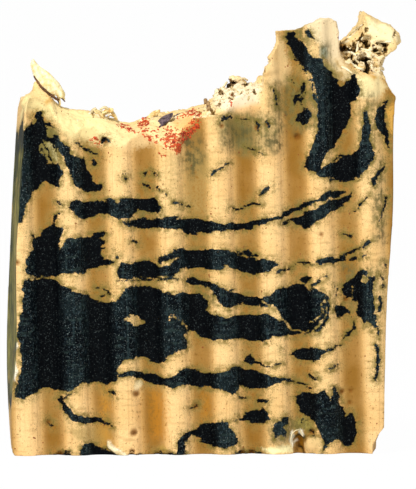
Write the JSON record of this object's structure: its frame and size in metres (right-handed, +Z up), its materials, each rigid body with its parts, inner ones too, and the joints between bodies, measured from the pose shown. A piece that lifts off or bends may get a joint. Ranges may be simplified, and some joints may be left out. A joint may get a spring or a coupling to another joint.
{
  "type": "bar of soap",
  "caption": "Standing slice of handmade soap with upright flutes on both cut faces, a torn uneven top, and dried plant bits and red clay grains pressed into it",
  "frame": {"origin": "middle of the base edge that the bar stands on", "axes": "+Z up from the base to the torn crest, +X to the right along the fluted front face, +Y from the front face back through the slice"},
  "size_m": [0.0755, 0.0254, 0.0847],
  "materials": {
    "soap": "waxy, tan with charcoal swirls",
    "dried_husk": "dry, pale straw",
    "pale_petal": "dry, pale straw",
    "purple_petal": "dry, dark purple brown",
    "dried_stem": "dry, brown",
    "red_clay": "crushed, brick red"
  },
  "bodies": {
    "root": {"soap_bar": "soap", "corner_flake": "dried_husk", "pale_petals": "pale_petal", "purple_petals": "purple_petal", "dried_stems": "dried_stem", "clay_grains": "red_clay"}
  },
  "joints": []
}
